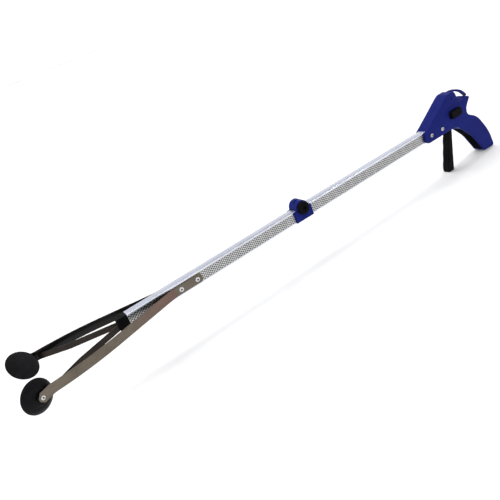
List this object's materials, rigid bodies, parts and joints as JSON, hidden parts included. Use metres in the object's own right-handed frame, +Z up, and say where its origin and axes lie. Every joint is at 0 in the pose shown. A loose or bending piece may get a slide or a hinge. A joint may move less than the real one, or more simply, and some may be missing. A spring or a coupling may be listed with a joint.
{
  "type": "reacher grabber",
  "caption": "Folding reacher grabber: blue pistol handle with black trigger, aluminium shaft with a fold hinge, spring-steel jaw arms and rubber suction cups.",
  "frame": {"origin": "on the shaft's axis where the shaft leaves the front of the handle", "axes": "+X forward along the shaft to the jaws, +Y to the tool's left (the side the hinge knob and lock button are on), +Z up, away from the grip"},
  "size_m": [0.7983, 0.109, 0.1195],
  "materials": {
    "blue_plastic": "satin moulded, fine texture",
    "black_plastic": "moulded, satin",
    "black_rubber": "soft, slightly glossy",
    "tube_aluminium": "bright top and bottom, knurled sides",
    "spring_steel": "rolled strip, dull sheen",
    "zinc_steel": "zinc plated",
    "cable_steel": "stranded wire",
    "rivet_aluminium": "bright"
  },
  "bodies": {
    "handle": {"left_handle_shell": "blue_plastic", "right_handle_shell": "blue_plastic", "grip_pad": "black_rubber", "handle_screws": "zinc_steel", "handle_nuts": "zinc_steel", "trigger_pivot_pin": "blue_plastic", "rear_tube": "tube_aluminium", "rear_hinge_block": "blue_plastic", "hinge_bolt": "zinc_steel"},
    "trigger": {"trigger": "black_plastic"},
    "lock": {"lock_button": "black_plastic"},
    "pull_rear": {"rear_pull_rod": "zinc_steel", "rod_end_pin": "zinc_steel", "rear_ferrule": "zinc_steel"},
    "knob": {"hinge_knob": "black_plastic"},
    "jaw_half": {"front_hinge_block": "blue_plastic", "front_tube": "tube_aluminium", "end_cap": "black_plastic", "left_arm_root": "spring_steel", "right_arm_root": "spring_steel", "arm_rivets": "rivet_aluminium"},
    "pull_front": {"hinge_cable": "cable_steel", "front_ferrule": "zinc_steel", "front_pull_rod": "zinc_steel", "yoke": "zinc_steel", "yoke_pin": "zinc_steel"},
    "left_arm": {"left_arm": "spring_steel", "left_cup_rivet": "rivet_aluminium"},
    "right_arm": {"right_arm": "spring_steel", "right_cup_rivet": "rivet_aluminium"},
    "left_cup": {"left_cup": "black_rubber"},
    "right_cup": {"right_cup": "black_rubber"},
    "left_link": {"left_link": "spring_steel"},
    "right_link": {"right_link": "spring_steel"}
  },
  "joints": [
    {"name": "trigger", "type": "hinge", "parent": "handle", "child": "trigger", "pos_m": [-0.071, 0, 0.035], "axis": [0, 1, 0], "range_deg": [0, 10.5], "stiffness_Nm_per_rad": 1.5, "springref_deg": -5.73},
    {"name": "lock", "type": "slide", "parent": "handle", "child": "lock", "axis": [0, -1, 0], "range_m": [0, 0.0035]},
    {"name": "rear_pull", "type": "slide", "parent": "handle", "child": "pull_rear", "axis": [-1, 0, 0], "range_m": [0, 0.0059]},
    {"name": "knob", "type": "hinge", "parent": "handle", "child": "knob", "pos_m": [0.2375, 0.0116, 0.0093], "axis": [0, 1, 0], "range_deg": [0, 180]},
    {"name": "fold", "type": "hinge", "parent": "handle", "child": "jaw_half", "pos_m": [0.2375, 0, 0.0093], "axis": [0, -1, 0], "range_deg": [0, 170], "deforming": ["hinge_cable"]},
    {"name": "front_pull", "type": "slide", "parent": "jaw_half", "child": "pull_front", "axis": [-1, 0, 0], "range_m": [0, 0.0059]},
    {"name": "left_arm", "type": "hinge", "parent": "jaw_half", "child": "left_arm", "pos_m": [0.47, 0.01348, -0.00045], "axis": [0, 0, -1], "range_deg": [0, 14.4]},
    {"name": "right_arm", "type": "hinge", "parent": "jaw_half", "child": "right_arm", "pos_m": [0.47, -0.01348, -0.00045], "axis": [0, 0, 1], "range_deg": [0, 14.4]},
    {"name": "left_cup", "type": "hinge", "parent": "left_arm", "child": "left_cup", "pos_m": [0.6316, 0.05066, -0.00045], "axis": [0, 0, -1], "range_deg": [0, 11.8]},
    {"name": "right_cup", "type": "hinge", "parent": "right_arm", "child": "right_cup", "pos_m": [0.6316, -0.05066, -0.00045], "axis": [0, 0, 1], "range_deg": [0, 11.8]},
    {"name": "left_link", "type": "hinge", "parent": "left_arm", "child": "left_link", "pos_m": [0.6173, 0.04415, -0.0018], "axis": [0, 0, -1], "range_deg": [0, 5.4]},
    {"name": "right_link", "type": "hinge", "parent": "right_arm", "child": "right_link", "pos_m": [0.6173, -0.04415, -0.0018], "axis": [0, 0, 1], "range_deg": [0, 5.4]}
  ],
  "couplings": [
    {"joint": "rear_pull", "follows": "trigger", "m_per_rad": 0.032},
    {"joint": "front_pull", "follows": "trigger", "m_per_rad": 0.032},
    {"joint": "left_arm", "follows": "trigger", "ratio": 1.3619},
    {"joint": "right_arm", "follows": "trigger", "ratio": 1.3619},
    {"joint": "left_cup", "follows": "trigger", "ratio": 1.1143},
    {"joint": "right_cup", "follows": "trigger", "ratio": 1.1143},
    {"joint": "left_link", "follows": "trigger", "ratio": 0.5},
    {"joint": "right_link", "follows": "trigger", "ratio": 0.5}
  ]
}
